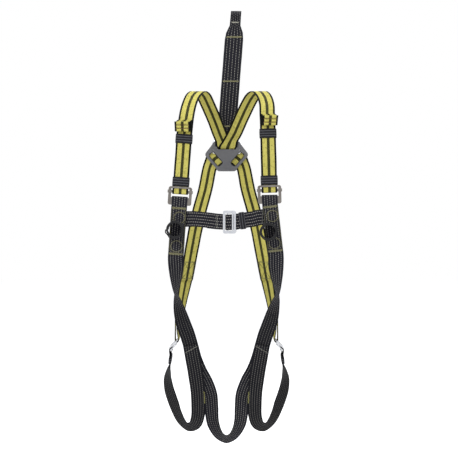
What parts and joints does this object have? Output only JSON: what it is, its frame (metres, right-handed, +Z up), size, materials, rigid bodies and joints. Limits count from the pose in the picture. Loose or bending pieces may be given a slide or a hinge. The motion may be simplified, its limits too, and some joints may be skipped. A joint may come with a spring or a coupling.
{
  "type": "safety harness",
  "caption": "Full body safety harness with dorsal ring plate, rescue strap, chest belt, front loops and buckled leg loops.",
  "frame": {"origin": "middle of the dorsal D-ring's bar, where the shoulder straps cross", "axes": "+X to the wearer's left, -Y to the wearer's front, +Z up"},
  "size_m": [0.3894, 0.2819, 1.3353],
  "materials": {
    "hi_vis_webbing": "woven polyester webbing with a dark centre stripe and dark edges",
    "black_webbing": "woven polyester webbing with fine pale dashes",
    "elastic": "ribbed elastic band with grey lines",
    "dorsal_plastic": "moulded, satin",
    "adjuster_steel": "dull plated steel",
    "buckle_steel": "bright plated steel",
    "stitching": "polyester thread"
  },
  "bodies": {
    "harness": {"right_shoulder_strap": "hi_vis_webbing", "left_shoulder_strap": "hi_vis_webbing", "right_hip_strap": "hi_vis_webbing", "left_hip_strap": "hi_vis_webbing", "right_front_strap": "black_webbing", "left_front_strap": "black_webbing", "right_loop_patch": "black_webbing", "left_loop_patch": "black_webbing", "right_leg_strap": "black_webbing", "left_leg_strap": "black_webbing", "seat_strap": "black_webbing", "right_belt": "black_webbing", "left_belt": "black_webbing", "dorsal_plate": "dorsal_plastic", "right_adjuster_frame": "adjuster_steel", "left_adjuster_frame": "adjuster_steel", "chest_buckle_frame": "buckle_steel", "chest_buckle_tongue": "buckle_steel", "right_leg_buckle_frame": "buckle_steel", "left_leg_buckle_frame": "buckle_steel"},
    "d_ring": {"dorsal_d_ring": "buckle_steel"},
    "rescue": {"rescue_strap": "black_webbing"},
    "belt_keeper": {"belt_keeper": "elastic"},
    "right_adjuster_bar": {"right_adjuster_bar": "adjuster_steel"},
    "right_front_loop": {"right_front_loop": "black_webbing"},
    "right_upper_keeper": {"right_upper_keeper": "elastic"},
    "right_lower_keeper": {"right_lower_keeper": "elastic"},
    "right_leg_tongue": {"right_leg_buckle_tongue": "buckle_steel"},
    "right_leg_keeper": {"right_leg_keeper": "elastic"},
    "left_adjuster_bar": {"left_adjuster_bar": "adjuster_steel"},
    "left_front_loop": {"left_front_loop": "black_webbing"},
    "left_upper_keeper": {"left_upper_keeper": "elastic"},
    "left_lower_keeper": {"left_lower_keeper": "elastic"},
    "left_leg_tongue": {"left_leg_buckle_tongue": "buckle_steel"},
    "left_leg_keeper": {"left_leg_keeper": "elastic"}
  },
  "joints": [
    {"name": "d_ring_swing", "type": "hinge", "parent": "harness", "child": "d_ring", "pos_m": [0, 0, 0], "axis": [-1, 0, 0], "range_deg": [0, 95]},
    {"name": "rescue_strap_swing", "type": "hinge", "parent": "d_ring", "child": "rescue", "pos_m": [0, 0, 0.053], "axis": [-1, 0, 0], "range_deg": [0, 45]},
    {"name": "belt_keeper_slide", "type": "slide", "parent": "harness", "child": "belt_keeper", "axis": [0.9906, 0, 0.1371], "range_m": [0, 0.012]},
    {"name": "right_adjuster_slide", "type": "slide", "parent": "harness", "child": "right_adjuster_bar", "axis": [0.0692, 0.041, 0.9968], "range_m": [0, 0.003]},
    {"name": "right_front_loop_swing", "type": "hinge", "parent": "harness", "child": "right_front_loop", "pos_m": [-0.17292, -0.24656, -0.24392], "axis": [-0.0689, 0.0209, -0.9974], "range_deg": [0, 60]},
    {"name": "right_upper_keeper_slide", "type": "slide", "parent": "harness", "child": "right_upper_keeper", "axis": [0.0692, 0.041, 0.9968], "range_m": [-0.02, 0]},
    {"name": "right_lower_keeper_slide", "type": "slide", "parent": "harness", "child": "right_lower_keeper", "axis": [0.0692, 0.041, 0.9968], "range_m": [0, 0.03]},
    {"name": "right_leg_tongue_tilt", "type": "hinge", "parent": "harness", "child": "right_leg_tongue", "pos_m": [-0.16658, -0.134, -0.60476], "axis": [0, 1, 0], "range_deg": [0, 20]},
    {"name": "right_leg_keeper_slide", "type": "slide", "parent": "harness", "child": "right_leg_keeper", "axis": [0.0715, -0.2493, 0.9658], "range_m": [-0.005, 0.008]},
    {"name": "left_adjuster_slide", "type": "slide", "parent": "harness", "child": "left_adjuster_bar", "axis": [-0.0244, 0.039, 0.9989], "range_m": [0, 0.003]},
    {"name": "left_front_loop_swing", "type": "hinge", "parent": "harness", "child": "left_front_loop", "pos_m": [0.14642, -0.24626, -0.25025], "axis": [-0.1174, -0.0211, 0.9929], "range_deg": [0, 60]},
    {"name": "left_upper_keeper_slide", "type": "slide", "parent": "harness", "child": "left_upper_keeper", "axis": [-0.0244, 0.039, 0.9989], "range_m": [-0.02, 0]},
    {"name": "left_lower_keeper_slide", "type": "slide", "parent": "harness", "child": "left_lower_keeper", "axis": [-0.0244, 0.039, 0.9989], "range_m": [0, 0.03]},
    {"name": "left_leg_tongue_tilt", "type": "hinge", "parent": "harness", "child": "left_leg_tongue", "pos_m": [0.16658, -0.134, -0.60476], "axis": [0, -1, 0], "range_deg": [0, 20]},
    {"name": "left_leg_keeper_slide", "type": "slide", "parent": "harness", "child": "left_leg_keeper", "axis": [-0.0715, -0.2493, 0.9658], "range_m": [-0.005, 0.008]}
  ]
}
